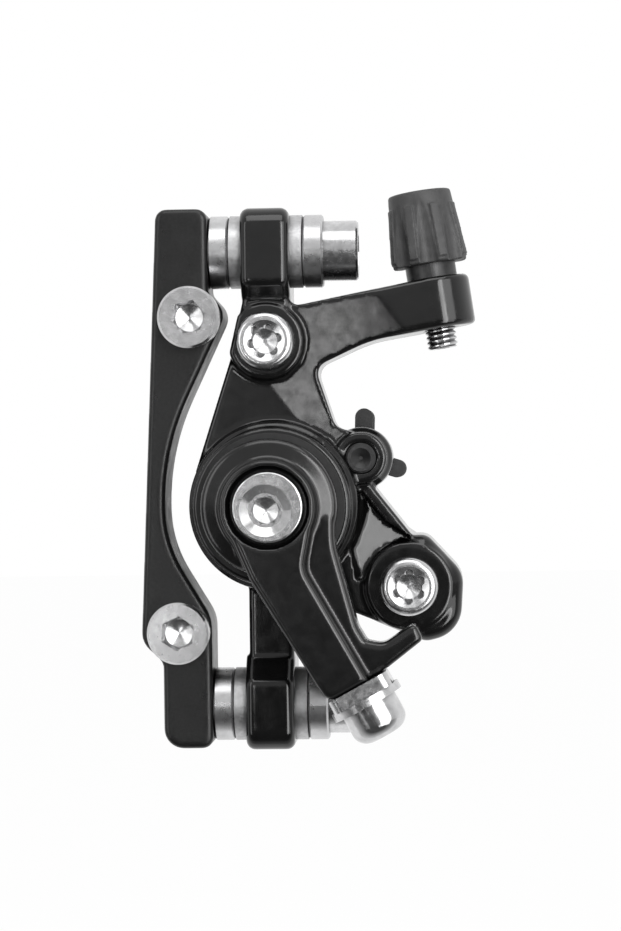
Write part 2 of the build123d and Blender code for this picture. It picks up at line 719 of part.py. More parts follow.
def pad_plate(side):
    """The outboard (1) or inboard (-1) backing plate, with the hole for the pad pin."""
    low, high = sorted((side * PLATE_IN, side * PLATE_OUT))
    return prism(plate_outline(), low, high) - disc(PIN_R + PIN_SLIDE_GAP, low - 1, high + 1, PAD_PIN)


def pad_lining(side):
    low, high = sorted((side * LINING_IN, side * PLATE_IN))
    outline = Rot(0, 0, PAD_ANGLE) * RectangleRounded(LINING_SIZE, LINING_SIZE, PLATE_CORNER)
    block = prism(outline, low, high)
    groove = Rot(0, 0, PAD_ANGLE) * (Pos(0, 0, side * LINING_IN) * Box(LINING_SIZE + 2, 1.2, 1.6))
    return block - groove


def pad_spring():
    """Spreader of thin strip: a T on each plate's neck, joined by a bow outside the rotor."""
    bow = ROTOR_REACH - ROTOR_AXLE_DISTANCE + 0.9
    bar = LINING_SIZE / 2 + 0.15
    leaf = Pos(bar + 0.4, 0, 0) * Box(0.8, 16.0, STRIP_THICK)
    leaf += Pos((bar + bow) / 2, 0, 0) * Box(bow - bar, 4.0, STRIP_THICK)
    level = PLATE_IN - STRIP_THICK / 2
    solid = Pos(0, 0, level) * leaf + Pos(0, 0, -level) * leaf
    solid += Pos(bow - STRIP_THICK / 2, 0, 0) * Box(STRIP_THICK, 4.0, 2 * PLATE_IN)
    return Rot(0, 0, PAD_ANGLE) * solid


def pad_pin():
    """Headed pin with a hollow in its head and a groove for the clip at its inboard end."""
    head = disc(PIN_HEAD_R, PIN_BOSS_FRONT - PIN_HEAD_THICK, PIN_BOSS_FRONT + 0.4, PAD_PIN)
    head = chamfer(head.faces().sort_by(Axis.Z)[-1].edges(), 0.3)
    head -= Pos(*PAD_PIN, PIN_BOSS_FRONT - 0.7) * Cone(0.3, 1.75, 1.2, align=RISE)
    shank = disc(PIN_R, PIN_TIP, PIN_BOSS_FRONT - PIN_HEAD_THICK + 0.1, PAD_PIN)
    shank = chamfer(shank.faces().sort_by(Axis.Z)[0].edges(), 0.3)
    groove_top = INNER_BACK - CLIP_GAP
    groove = ring(PIN_R + 1, PIN_R - 0.5, groove_top - CLIP_THICK, groove_top, PAD_PIN)
    return head + (shank - groove)


def pin_clip():
    """Open clip that snaps into the pin's groove behind the inner half."""
    low = INNER_BACK - CLIP_THICK - CLIP_GAP + SEAT_GAP
    high = INNER_BACK - CLIP_GAP - SEAT_GAP
    solid = ring(CLIP_R, PIN_R - 0.5 + SEAT_GAP, low, high, PAD_PIN)
    mouth = Pos(PAD_PIN[0] + CLIP_R, PAD_PIN[1], (low + high) / 2) * Box(2 * CLIP_R, PIN_R, 3)
    return solid - mouth


# Ball-and-ramp drive

def piston():
    solid = disc(MAIN_BORE_R - RUNNING_GAP, PLATE_OUT, PISTON_TOP)
    solid = chamfer(solid.edges(), 0.4)
    return solid - disc(2.5, PLATE_OUT - 1, PLATE_OUT + 1.5)


def thrust_washer():
    return ring(SPINDLE_FLANGE_R - 1, 3.5, PISTON_TOP, THRUST_TOP)


def spindle():
    """The turning half of the ramp: a flange with a ball race, a shaft and a hexagon for the arm."""
    flange = disc(SPINDLE_FLANGE_R, THRUST_TOP, FLANGE_TOP)
    race = Pos(0, 0, BALL_Z) * Torus(BALL_RING_R, BALL_R + RUNNING_GAP)
    solid = flange - race
    solid += disc(SPINDLE_R, FLANGE_TOP - 1, ARM_UNDER)
    solid += hexagon(SPINDLE_HEX, ARM_UNDER - 0.5, RECESS_FLOOR - 0.4)
    return solid - disc(M6_R + THREAD_GAP, RECESS_FLOOR - ARM_BOLT_LENGTH - 1, RECESS_FLOOR + 1)


def ball_places():
    return [polar(BALL_RING_R, 360 * index / BALL_COUNT) for index in range(BALL_COUNT)]


def ramp_balls():
    return [Pos(x, y, BALL_Z) * Sphere(BALL_R) for x, y in ball_places()]


def ball_cage():
    low = FLANGE_TOP + CAGE_GAP
    solid = ring(SPINDLE_FLANGE_R - 0.2, SPINDLE_R + 0.6, low, low + CAGE_THICK)
    for place in ball_places():
        solid -= disc(BALL_R + RUNNING_GAP, low - 1, low + 2, place)
    return solid


def fixed_ramp():
    """The plate pressed into the housing, with a sloping groove for each ball."""
    solid = ring(MAIN_BORE_R - SEAT_GAP, SPINDLE_R + 0.4, BALL_Z, BALL_Z + RAMP_THICK)
    reach = BALL_R + RUNNING_GAP + BALL_RING_R * (1 - math.cos(math.radians(ARM_SWING / 4)))
    for index in range(BALL_COUNT):
        start = Vector(*polar(BALL_RING_R, 360 * index / BALL_COUNT), BALL_Z)
        end = Vector(*polar(BALL_RING_R, 360 * index / BALL_COUNT + ARM_SWING / 2), BALL_Z - PISTON_TRAVEL)
        run = end - start
        bar = Location(Plane(start, z_dir=run)) * Cylinder(reach, run.length, align=RISE)
        solid -= bar
        solid -= Location(start) * Sphere(reach)
        solid -= Location(end) * Sphere(reach)
    return solid


def spindle_bush():
    return ring(BUSH_R - SEAT_GAP, SPINDLE_R + RUNNING_GAP, BORE_TOP + 0.1, HOUSING_TOP + 0.4)


def dust_seal():
    """Soft ring that closes the gap between the housing and the arm."""
    inner, outer = SEAL_R
    return ring(outer, inner, HOUSING_TOP, ARM_UNDER)


def return_spring():
    """Torsion spring round the spindle, wound as one helix."""
    helix = Pos(0, 0, SPRING_LOW) * Helix(SPRING_HEIGHT / SPRING_TURNS, SPRING_HEIGHT, SPRING_R)
    start = helix @ 0
    start_way = helix % 0
    profile = Plane(origin=start, z_dir=start_way) * Circle(SPRING_WIRE / 2)
    return sweep(profile, path=helix, is_frenet=True)


# Lever arm and cable clamp

def arm_side_points():
    """The left edge of the arm, then its right edge, both from the hub down to the clamp."""
    end_x, end_y = CLAMP_CENTRE
    across = CLAMP_TURN + 90
    left_end = polar(ARM_END_WIDTH / 2, across + 180, CLAMP_CENTRE)
    right_end = polar(ARM_END_WIDTH / 2, across, CLAMP_CENTRE)
    return left_end, right_end


def arm_plate_outline():
    """The low flange of the arm, down to the end that carries the clamp."""
    left_end, right_end = arm_side_points()
    return rounded(
        (0, 0, 0),
        (-4.8, -6.4, 0),
        (-1.8, -12.4, 2.0),
        (left_end[0] - 1.8, left_end[1] + 2.6, 3.0),
        (*left_end, 1.6),
        (*right_end, 0.8),
        (right_end[0] - 4.2, right_end[1] + 6.8, 6.0),
        (10.4, -6.0, 12.0),
        (10.4, -1.0, 0),
    )


def arm_band_outline():
    """The high band from the collar down the left side of the arm."""
    left_end, right_end = arm_side_points()
    return rounded(
        (0, 0, 0),
        (-6.0, -4.2, 0),
        (-2.9, -11.4, 3.5),
        (left_end[0] - 1.8, left_end[1] + 2.6, 3.0),
        (*left_end, 1.6),
        (right_end[0] - 2.6, right_end[1] - 1.4, 0),
        (5.6, -9.7, 4.0),
        (7.2, -1.4, 0),
    )


def finger_outline():
    """The cable guide that stands out from the end of the arm."""
    x, y = CLAMP_CENTRE
    right_end = arm_side_points()[1]
    return rounded(
        (x - 2.6, y + 9.2, 0),
        (x - 0.5, y + 10.9, 0),
        (x + 0.1, y + 7.4, 1.5),
        (x + 4.2, y + 6.6, 2.5),
        (x + 9.2, y + 9.9, 0.8),
        (x + 10.5, y + 7.2, 0.8),
        (right_end[0] + 0.4, right_end[1] + 0.4, 1.0),
        (right_end[0] - 3.2, right_end[1] - 1.0, 0),
    )


def clamp_frame():
    """The frame of the cable clamp: z runs out of the arm's end along the clamp bolt."""
    out = (math.cos(math.radians(CLAMP_TURN)), math.sin(math.radians(CLAMP_TURN)), 0)
    return Location(Plane((*CLAMP_CENTRE, CLAMP_DEPTH), x_dir=(0, 0, 1), z_dir=out))


def arm_hub():
    """The round hub of the arm, its front sloping gently down to the rim."""
    outline = rounded(
        (0, ARM_UNDER, 0),
        (ARM_HUB_R, ARM_UNDER, 0),
        (ARM_HUB_R, ARM_HUB_TOP, 0.8),
        (ARM_COLLAR_R + 0.3, ARM_HUB_TOP + 0.6, 0.3),
        (ARM_COLLAR_R, ARM_BAND_TOP, 0.3),
        (0, ARM_BAND_TOP, 0),
    )
    return revolve(Rot(90, 0, 0) * outline, Axis.Z)


def actuating_arm():
    plate = soften(prism(arm_plate_outline(), ARM_UNDER, ARM_PLATE_TOP), 1.0, ARM_PLATE_TOP)
    band = soften(prism(arm_band_outline(), ARM_UNDER, ARM_BAND_TOP), 0.9, ARM_BAND_TOP)
    end_block = prism(arm_plate_outline(), ARM_END_LOW, ARM_UNDER + 0.1)
    end_block -= disc(HOUSING_STEPS[0][0] + 3.0, ARM_END_LOW - 1, ARM_UNDER + 1)
    finger = soften(prism(finger_outline(), ARM_UNDER, ARM_PLATE_TOP), 0.8, ARM_PLATE_TOP)
    solid = arm_hub() + [plate, band, end_block, finger]
    solid -= disc(ARM_RECESS_R, RECESS_FLOOR, ARM_BAND_TOP + 1)
    solid -= hexagon(SPINDLE_HEX + 2 * SEAT_GAP, ARM_UNDER - 1, ARM_BAND_TOP)
    return solid - clamp_frame() * disc(CLAMP_M + THREAD_GAP, -CLAMP_BOLT_LENGTH - 1, 1)


def arm_bolt():
    """Flanged bolt that holds the arm on the spindle, with a dished hexagon socket."""
    top = RECESS_FLOOR + ARM_BOLT_FLANGE_THICK
    flange = disc(ARM_BOLT_FLANGE_R, RECESS_FLOOR, top)
    flange = fillet(flange.faces().sort_by(Axis.Z)[-1].edges(), 0.4)
    shank = disc(M6_R, RECESS_FLOOR - ARM_BOLT_LENGTH, RECESS_FLOOR + 0.2)
    solid = flange + shank
    dish_floor = top - ARM_BOLT_DISH
    solid -= Pos(*SOCKET_OFFSET, dish_floor) * Cone(2.7, 4.1, ARM_BOLT_DISH, align=RISE)
    return solid - Pos(*SOCKET_OFFSET) * Rot(0, 0, 5) * hexagon_socket(ARM_BOLT_KEY, 1.0, dish_floor)


def clamp_plate():
    """Square plate under the cable, with a groove for it."""
    half = CLAMP_PLATE_SIZE / 2
    plate = Pos(0, 0, CLAMP_PLATE_THICK / 2) * Box(CLAMP_PLATE_SIZE, CLAMP_PLATE_SIZE, CLAMP_PLATE_THICK)
    plate = fillet(plate.edges().filter_by(Axis.Z), 1.6)
    groove = Pos(CLAMP_M + CABLE_R, 0, CLAMP_PLATE_THICK) * Rot(90, 0, 0) * Cylinder(CABLE_R, 3 * half)
    solid = plate - groove - disc(CLAMP_M + BOLT_GAP, -1, CLAMP_PLATE_THICK + 1)
    return clamp_frame() * (Pos(0, 0, SEAT_GAP) * solid)


def clamp_washer():
    low = CLAMP_PLATE_THICK + 2 * SEAT_GAP
    solid = ring(CLAMP_WASHER_R, CLAMP_M + BOLT_GAP, low, low + CLAMP_WASHER_THICK)
    return clamp_frame() * solid


def clamp_bolt():
    """Bolt with a tall domed head that grips the cable between plate and washer."""
    low = CLAMP_PLATE_THICK + CLAMP_WASHER_THICK + 3 * SEAT_GAP
    head = disc(CLAMP_HEAD_R, low, low + CLAMP_HEAD_THICK)
    head = fillet(head.faces().sort_by(Axis.Z)[-1].edges(), 2.4)
    head -= hexagon(4.0, low + CLAMP_HEAD_THICK - 2.6, low + CLAMP_HEAD_THICK + 1)
    shank = disc(CLAMP_M, -CLAMP_BOLT_LENGTH, low + 0.1)
    return clamp_frame() * (head + shank)


# Barrel adjuster

def barrel_screw():
    """Hollow screw: a threaded foot in the boss and a shoulder with the socket for the housing."""
    solid = disc(BARREL_THREAD_R, -STOP_BOSS_LENGTH - THREAD_SHOWN, 1)
    solid = chamfer(solid.faces().sort_by(Axis.Z)[0].edges(), 0.3)
    top = COLLAR_LENGTH + KNOB_LENGTH - 0.6
    solid += disc(BARREL_SHOULDER_R, SEAT_GAP, top)
    solid -= disc(CABLE_HOLE_R, -STOP_BOSS_LENGTH - THREAD_SHOWN - 1, top + 1)
    solid -= disc(HOUSING_SOCKET_R, top - HOUSING_SOCKET_DEPTH, top + 1)
    return tilted() * solid


def adjuster_collar():
    solid = ring(COLLAR_R, BARREL_SHOULDER_R + RUNNING_GAP, SEAT_GAP, COLLAR_LENGTH)
    return tilted() * solid


def knob_cone(low, top, foot, rise):
    """The tapered grip between two heights, standing out by rise. Its foot radius is at the foot height."""
    slope = (KNOB_FOOT_R - KNOB_TOP_R) / (COLLAR_LENGTH + KNOB_LENGTH - foot)
    low_r = KNOB_FOOT_R - slope * (low - foot) + rise
    top_r = KNOB_FOOT_R - slope * (top - foot) + rise
    outline = polygon((0, low), (low_r, low), (top_r, top), (0, top))
    return revolve(Rot(90, 0, 0) * outline, Axis.Z)


def adjuster_knob():
    """Tapered grip with pointed flutes and raised ribs between them, pressed on the barrel screw."""
    low = COLLAR_LENGTH + SEAT_GAP
    top = COLLAR_LENGTH + KNOB_LENGTH
    solid = knob_cone(low, top, low, 0)
    solid = fillet(solid.edges().filter_by(GeomType.CIRCLE), 0.4)
    ribs = knob_cone(low + 0.8, top - 2.4, low, KNOB_RIB_RISE)
    for index in range(KNOB_FLUTES):
        angle = index * 360 / KNOB_FLUTES
        bar = Pos(5, 0, 0) * Box(10, KNOB_RIB_WIDTH, 4 * KNOB_LENGTH)
        solid += ribs & (Rot(0, 0, angle + 180 / KNOB_FLUTES) * bar)
        reach = KNOB_TOP_R + 0.15 + KNOB_FLUTE_R
        solid -= disc(KNOB_FLUTE_R, low - 1, top + 1, polar(reach, angle))
    solid -= disc(BARREL_SHOULDER_R + SEAT_GAP, low - 1, COLLAR_LENGTH + KNOB_LENGTH - 0.6 + SEAT_GAP)
    solid -= disc(HOUSING_SOCKET_R, low, top + 1)
    return tilted() * solid


# Inner pad adjuster

def pad_adjuster():
    """Plug that carries the inner pad, turned from behind with a hexagon key."""
    back = -PLATE_OUT - ADJUSTER_LENGTH
    solid = disc(ADJUSTER_R, back, -PLATE_OUT)
    solid = chamfer(solid.edges(), 0.4)
    solid -= hexagon(5.0, back - 1, back + 4.5)
    groove_r = ADJUSTER_R + RUNNING_GAP - 2 * ORING_WIRE_R - 0.05
    groove = ring(ADJUSTER_R + 1, groove_r, ORING_Z - ORING_WIRE_R - 0.1, ORING_Z + ORING_WIRE_R + 0.1)
    return solid - groove


def adjuster_oring():
    radius = ADJUSTER_R + RUNNING_GAP - ORING_WIRE_R - 0.01
    return Pos(0, 0, ORING_Z) * Torus(radius, ORING_WIRE_R)


write("adapter_bracket", adapter_bracket())
write("tab_bolts", *tab_bolts())
write("post_bolts", *post_bolts())
write("concave_washers", *cup_washers())
write("convex_washers", *domed_washers())
write("outer_body", outer_body())
write("inner_body", inner_body())
write("body_screws", *body_screws())
write("outer_pad_plate", pad_plate(1))
write("outer_pad_lining", pad_lining(1))
write("inner_pad_plate", pad_plate(-1))
write("inner_pad_lining", pad_lining(-1))
write("pad_spring", pad_spring())
write("pad_pin", pad_pin())
write("pin_clip", pin_clip())
write("piston", piston())
write("thrust_washer", thrust_washer())
write("spindle", spindle())
write("ball_cage", ball_cage())
write("ramp_balls", *ramp_balls())
write("fixed_ramp", fixed_ramp())
write("spindle_bush", spindle_bush())
write("dust_seal", dust_seal())
write("return_spring", return_spring())
write("actuating_arm", actuating_arm())
write("arm_bolt", arm_bolt())
write("clamp_plate", clamp_plate())
write("clamp_washer", clamp_washer())
write("clamp_bolt", clamp_bolt())
write("barrel_screw", barrel_screw())
write("adjuster_collar", adjuster_collar())
write("adjuster_knob", adjuster_knob())
write("pad_adjuster", pad_adjuster())
write("adjuster_oring", adjuster_oring())
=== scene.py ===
import bmesh
import bpy
import json
import math
from mathutils import Matrix, Vector


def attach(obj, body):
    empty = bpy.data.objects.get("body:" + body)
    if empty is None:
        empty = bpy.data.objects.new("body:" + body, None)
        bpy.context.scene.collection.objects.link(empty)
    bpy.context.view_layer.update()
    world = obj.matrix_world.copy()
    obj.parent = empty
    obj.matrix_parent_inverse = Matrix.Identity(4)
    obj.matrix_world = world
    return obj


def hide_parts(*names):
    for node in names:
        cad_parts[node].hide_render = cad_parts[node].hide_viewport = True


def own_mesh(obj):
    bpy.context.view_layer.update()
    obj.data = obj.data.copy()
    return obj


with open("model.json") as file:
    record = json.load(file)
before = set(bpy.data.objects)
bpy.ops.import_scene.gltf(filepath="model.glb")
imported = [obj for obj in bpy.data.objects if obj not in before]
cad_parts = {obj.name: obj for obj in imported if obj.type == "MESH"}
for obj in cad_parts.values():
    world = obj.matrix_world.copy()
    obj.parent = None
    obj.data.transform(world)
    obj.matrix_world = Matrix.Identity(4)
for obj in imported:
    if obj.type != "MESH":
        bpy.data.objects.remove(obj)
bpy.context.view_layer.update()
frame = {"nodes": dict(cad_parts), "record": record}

NODES = frame["nodes"]
RECORD = frame["record"]
BODY_OF = {node: body for body, group in RECORD["behaviour"]["bodies"].items() for node in group}
JOINTS = {joint["name"]: joint for joint in RECORD["behaviour"]["joints"]}
SLOT_OF = {part["node"]: part["material_slot"] for part in RECORD["subparts"]}

MM_PER_METRE = 1000
WHITE = (1, 1, 1, 1)


# Materials

def map_range(tree, value, low, high, to_low, to_high):
    """A node that maps the stretch from low to high onto the stretch from to_low to to_high."""
    made = tree.nodes.new("ShaderNodeMapRange")
    tree.links.new(value, made.inputs["Value"])
    made.inputs["From Min"].default_value = low
    made.inputs["From Max"].default_value = high
    made.inputs["To Min"].default_value = to_low
    made.inputs["To Max"].default_value = to_high
    return made


class Surface:
    """A node material with one Principled shader, whose inputs are fed one by one."""

    def __init__(self, name, colour, metallic, roughness):
        self.material = bpy.data.materials.new(name)
        self.material.use_nodes = True
        self.tree = self.material.node_tree
        self.shader = self.tree.nodes["Principled BSDF"]
        self.shader.inputs["Base Color"].default_value = (*colour, 1)
        self.shader.inputs["Metallic"].default_value = metallic
        self.shader.inputs["Roughness"].default_value = roughness
        self.place = self.tree.nodes.new("ShaderNodeTexCoord").outputs["Object"]
        self.normal = None

    def set(self, **values):
        for name, value in values.items():
            self.shader.inputs[name.replace("_", " ")].default_value = value

    def node(self, kind, **inputs):
        """A new node, with each input linked to a socket or set to a value."""
        made = self.tree.nodes.new(kind)
        for name, value in inputs.items():
            socket = made.inputs[name.replace("_", " ")]
            if isinstance(value, bpy.types.NodeSocket):
                self.tree.links.new(value, socket)
            else:
                socket.default_value = value
        return made

    def noise(self, size_mm, detail=3.0, roughness=0.55):
        scale = MM_PER_METRE / size_mm
        made = self.node(
            "ShaderNodeTexNoise", Vector=self.place, Scale=scale, Detail=detail, Roughness=roughness
        )
        return made.outputs["Fac"]

    def unshaded_share(self, reach_mm):
        """Near 1 on open faces and near 0 in sockets and seams, a painted shade taken from ambient
        occlusion.
        """
        # Painted shade: the ambient occlusion value is used as a colour factor.
        made = self.node("ShaderNodeAmbientOcclusion", Distance=reach_mm / MM_PER_METRE)
        return self.spread(made.outputs["AO"], low=0, high=1, start=0.15, end=0.85)

    def times(self, first, second):
        made = self.tree.nodes.new("ShaderNodeMath")
        made.operation = "MULTIPLY"
        self.tree.links.new(first, made.inputs[0])
        self.tree.links.new(second, made.inputs[1])
        return made.outputs[0]

    def spread(self, factor, low, high, start=0.3, end=0.7):
        return map_range(self.tree, factor, start, end, low, high).outputs["Result"]

    def tint(self, factor, low, high, start=0.3, end=0.7):
        ramp = self.node("ShaderNodeValToRGB", Fac=factor)
        ramp.color_ramp.elements[0].position = start
        ramp.color_ramp.elements[0].color = (*low, 1)
        ramp.color_ramp.elements[1].position = end
        ramp.color_ramp.elements[1].color = (*high, 1)
        self.tree.links.new(ramp.outputs["Color"], self.shader.inputs["Base Color"])

    def rough(self, factor, low, high):
        self.tree.links.new(self.spread(factor, low, high), self.shader.inputs["Roughness"])

    def bump(self, factor, depth_mm, strength):
        """Adds one layer of relief on top of the layers so far."""
        depth = depth_mm / MM_PER_METRE
        made = self.node("ShaderNodeBump", Height=factor, Distance=depth, Strength=strength)
        if self.normal:
            self.tree.links.new(self.normal, made.inputs["Normal"])
        self.normal = made.outputs["Normal"]
        self.tree.links.new(self.normal, self.shader.inputs["Normal"])


def grey(value):
    """A grey with a trace of blue."""
    return (value, value, value * 1.01)


def powder_coat():
    """Satin black with a fine orange peel."""
    made = Surface("adapter_paint", grey(0.008), metallic=0, roughness=0.4)
    made.tint(made.noise(size_mm=0.5), grey(0.005), grey(0.011))
    made.rough(made.noise(size_mm=2.5), low=0.27, high=0.37)
    made.set(Specular_IOR_Level=0.42)
    made.bump(made.noise(size_mm=0.28, detail=2), depth_mm=0.012, strength=0.6)
    return made.material


def gloss_paint():
    """Gloss black over a casting, with slow waves under a fine grain."""
    made = Surface("body_paint", grey(0.004), metallic=0, roughness=0.15)
    made.tint(made.noise(size_mm=4.0), grey(0.003), grey(0.006))
    made.rough(made.noise(size_mm=1.6, detail=4), low=0.10, high=0.20)
    made.bump(made.noise(size_mm=3.2, detail=1), depth_mm=0.05, strength=0.5)
    made.bump(made.noise(size_mm=0.45, detail=2), depth_mm=0.006, strength=0.4)
    made.set(Coat_Weight=0.15, Coat_Roughness=0.08, Specular_IOR_Level=0.5)
    return made.material


def arm_paint():
    """Gloss black on a flatter face than the body's, so without the slow waves."""
    made = Surface("arm_paint", grey(0.005), metallic=0, roughness=0.16)
    made.tint(made.noise(size_mm=4.0), grey(0.004), grey(0.007))
    made.rough(made.noise(size_mm=1.6, detail=4), low=0.13, high=0.20)
    made.bump(made.noise(size_mm=0.5, detail=2), depth_mm=0.005, strength=0.5)
    made.set(Coat_Weight=0.2, Coat_Roughness=0.12, Specular_IOR_Level=0.5)
    return made.material


# Painted shade: how far the occlusion reaches, and the colour's shares in the deepest shade and on open
# faces
SHADE_REACH_MM = 1.6
SHADED_SHARE = 0.22
OPEN_FACE_SHARE = 1.12


def zinc(name, value, roughness, grain_mm, depth_mm, groove_mm=None):
    """Zinc plate, with painted shade in sockets and seams over a random mottle. Any grooves run round the x
    axis, that of the post bolts.
    """
    made = Surface(name, grey(value), metallic=1, roughness=sum(roughness) / 2)
    mottle = made.spread(made.noise(grain_mm * 3, detail=4, roughness=0.6), low=0.72, high=1.0)
    # Painted shade: the random mottle is multiplied by ambient occlusion, so sockets and seams come out
    # darker
    mottle_and_shade = made.times(mottle, made.unshaded_share(SHADE_REACH_MM))
    made.tint(mottle_and_shade, grey(value * SHADED_SHARE), grey(value * OPEN_FACE_SHARE), start=0, end=1)
    made.rough(made.noise(grain_mm * 1.4, detail=3), *roughness)
    made.bump(made.noise(grain_mm, detail=2), depth_mm, strength=0.5)
    if groove_mm:
        lathe = made.node("ShaderNodeMapping", Vector=made.place, Scale=(1, 0.02, 0.02))
        scale = MM_PER_METRE / groove_mm
        lines = made.node("ShaderNodeTexNoise", Vector=lathe.outputs[0], Scale=scale, Detail=2.0)
        made.bump(lines.outputs["Fac"], depth_mm, strength=0.7)
    return made.material


DARK_SHARE = 0.75
LIGHT_SHARE = 1.25


def plain(name, colour, metallic, roughness, grain_mm, depth_mm):
    """One mottled colour on a slightly uneven surface."""
    made = Surface(name, colour, metallic, sum(roughness) / 2)
    dark = tuple(c * DARK_SHARE for c in colour)
    light = tuple(min(1, c * LIGHT_SHARE) for c in colour)
    made.tint(made.noise(grain_mm * 4, detail=4), dark, light)
    made.rough(made.noise(grain_mm * 2), *roughness)
    made.bump(made.noise(grain_mm, detail=2), depth_mm, strength=0.6)
    return made.material


# The numbers after roughness are the size of the grain and the depth of its relief, in millimetres
MATERIALS = {
    "adapter_paint": powder_coat(),
    "body_paint": gloss_paint(),
    "arm_paint": arm_paint(),
    "bolt_zinc": zinc("bolt_zinc", 0.62, (0.17, 0.28), 0.5, 0.004),
    "turned_zinc": zinc("turned_zinc", 0.60, (0.26, 0.34), 0.8, 0.002, groove_mm=0.12),
    "rough_zinc": zinc("rough_zinc", 0.52, (0.36, 0.52), 0.3, 0.045),
    "screw_bright": zinc("screw_bright", 0.60, (0.12, 0.22), 0.6, 0.003),
    "knob_plastic": plain("knob_plastic", grey(0.045), 0, (0.42, 0.55), 0.35, 0.012),
    "dark_metal": plain("dark_metal", grey(0.05), 0.6, (0.28, 0.42), 0.4, 0.006),
    "plate_dark": plain("plate_dark", grey(0.035), 0.2, (0.45, 0.65), 0.3, 0.03),
    "friction": plain("friction", (0.10, 0.075, 0.06), 0, (0.8, 0.95), 0.4, 0.05),
    "hard_steel": plain("hard_steel", grey(0.55), 1, (0.2, 0.35), 0.5, 0.004),
    "bronze": plain("bronze", (0.55, 0.36, 0.14), 1, (0.35, 0.5), 0.4, 0.01),
    "cage_plastic": plain("cage_plastic", (0.70, 0.68, 0.60), 0, (0.4, 0.5), 0.5, 0.01),
    "rubber": plain("rubber", grey(0.015), 0, (0.6, 0.75), 0.3, 0.01),
    "spring_steel": plain("spring_steel", grey(0.5), 1, (0.25, 0.4), 0.4, 0.004),
}


# Pieces

def dress(obj, slot):
    obj.data.materials.clear()
    obj.data.materials.append(MATERIALS[slot])


def add_piece(name, mesh, node, smooth=True):
    """A finished mesh that stands for a CAD node and moves with its body."""
    mesh.name = name
    obj = bpy.data.objects.new(name, mesh)
    bpy.context.scene.collection.objects.link(obj)
    if smooth:
        mesh.polygons.foreach_set("use_smooth", [True] * len(mesh.polygons))
    dress(obj, SLOT_OF[node])
    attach(obj, BODY_OF[node])
    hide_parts(node)
    print(name, "faces", len(mesh.polygons))
    return obj


def work_copy(node):
    """A copy of the node in its place, to put modifiers on."""
    source = NODES[node]
    copy = bpy.data.objects.new(node + "_work", source.data.copy())
    bpy.context.scene.collection.objects.link(copy)
    copy.matrix_world = source.matrix_world
    return copy


def finished_mesh(copy):
    """The copy's mesh in its place, with the modifiers applied. The copy itself is removed."""
    bpy.context.view_layer.update()
    graph = bpy.context.evaluated_depsgraph_get()
    mesh = bpy.data.meshes.new_from_object(copy.evaluated_get(graph))
    mesh.transform(copy.matrix_world)
    bpy.data.objects.remove(copy)
    return mesh


def cast(node, voxel_mm, passes):
    """The node's shape again as a casting, with every edge worn soft."""
    copy = work_copy(node)
    remesh = copy.modifiers.new("remesh", "REMESH")
    remesh.mode = "VOXEL"
    remesh.voxel_size = voxel_mm / MM_PER_METRE
    remesh.adaptivity = 0
    smooth = copy.modifiers.new("smooth", "SMOOTH")
    smooth.factor = 0.5
    smooth.iterations = passes
    add_piece(node + "_cast", finished_mesh(copy), node)


for node, obj in NODES.items():
    dress(obj, SLOT_OF[node])

cast("outer_body", voxel_mm=0.32, passes=4)
cast("inner_body", voxel_mm=0.40, passes=5)
cast("actuating_arm", voxel_mm=0.30, passes=4)
cast("adapter_bracket", voxel_mm=0.36, passes=4)
cast("adjuster_knob", voxel_mm=0.16, passes=3)


# The barrel's thread, in metres, with its start measured down from the screw's seat
BARREL_SEAT = Vector(JOINTS["barrel_turn"]["pos_m"])
BARREL_WAY = Vector(JOINTS["barrel_turn"]["axis"]).normalized()
THREAD_START = 0.0127
THREAD_RADIUS = 0.0025
THREAD_LENGTH = 0.010
THREAD_PITCH = 0.0008
THREAD_DEPTH = 0.0004

STEPS_PER_TURN = 48
CUTTER_PROUD = 0.0001
CUTTER_HALF_SHARE = 0.47


def thread_cutter(start, way):
    """A V-shaped ridge wound along a screw, to be cut out of it. It fades out over a turn at each end."""
    across = way.orthogonal().normalized()
    beside = way.cross(across)
    turns = THREAD_LENGTH / THREAD_PITCH
    steps = int(turns * STEPS_PER_TURN)
    bm = bmesh.new()
    rings = []
    for index in range(steps + 1):
        share = index / steps
        angle = 2 * math.pi * turns * share
        out = math.cos(angle) * across + math.sin(angle) * beside
        centre = start + way * (THREAD_LENGTH * share)
        fade = min(1.0, share * turns, (1 - share) * turns)
        root = THREAD_RADIUS - THREAD_DEPTH * fade
        rim = THREAD_RADIUS + CUTTER_PROUD
        rings.append([
            bm.verts.new(centre + out * root),
            bm.verts.new(centre + out * rim + way * THREAD_PITCH * CUTTER_HALF_SHARE),
            bm.verts.new(centre + out * rim - way * THREAD_PITCH * CUTTER_HALF_SHARE),
        ])
    for first, second in zip(rings, rings[1:]):
        for a, b in ((0, 1), (1, 2), (2, 0)):
            bm.faces.new((first[a], second[a], second[b], first[b]))
    bm.faces.new(rings[0])
    bm.faces.new(rings[-1])
    bmesh.ops.recalc_face_normals(bm, faces=bm.faces)
    mesh = bpy.data.meshes.new("thread_cutter")
    bm.to_mesh(mesh)
    bm.free()
    obj = bpy.data.objects.new("thread_cutter", mesh)
    bpy.context.scene.collection.objects.link(obj)
    return obj


def threaded(node, start, way):
    """The node again, with a real thread cut into it from start along way."""
    copy = work_copy(node)
    cutter = thread_cutter(start, way)
    cut = copy.modifiers.new("cut", "BOOLEAN")
    cut.operation = "DIFFERENCE"
    cut.solver = "EXACT"
    cut.object = cutter
    mesh = finished_mesh(copy)
    bpy.data.objects.remove(cutter)
    add_piece(node + "_threaded", mesh, node, smooth=False)


threaded("barrel_screw", BARREL_SEAT - BARREL_WAY * THREAD_START, BARREL_WAY)


def pressed(node):
    """A soft piece again, in a mesh of its own that moves with its body."""
    source = NODES[node]
    mesh = source.data.copy()
    mesh.transform(source.matrix_world)
    obj = add_piece(node + "_soft", mesh, node, smooth=False)
    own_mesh(obj)


pressed("dust_seal")


# Camera

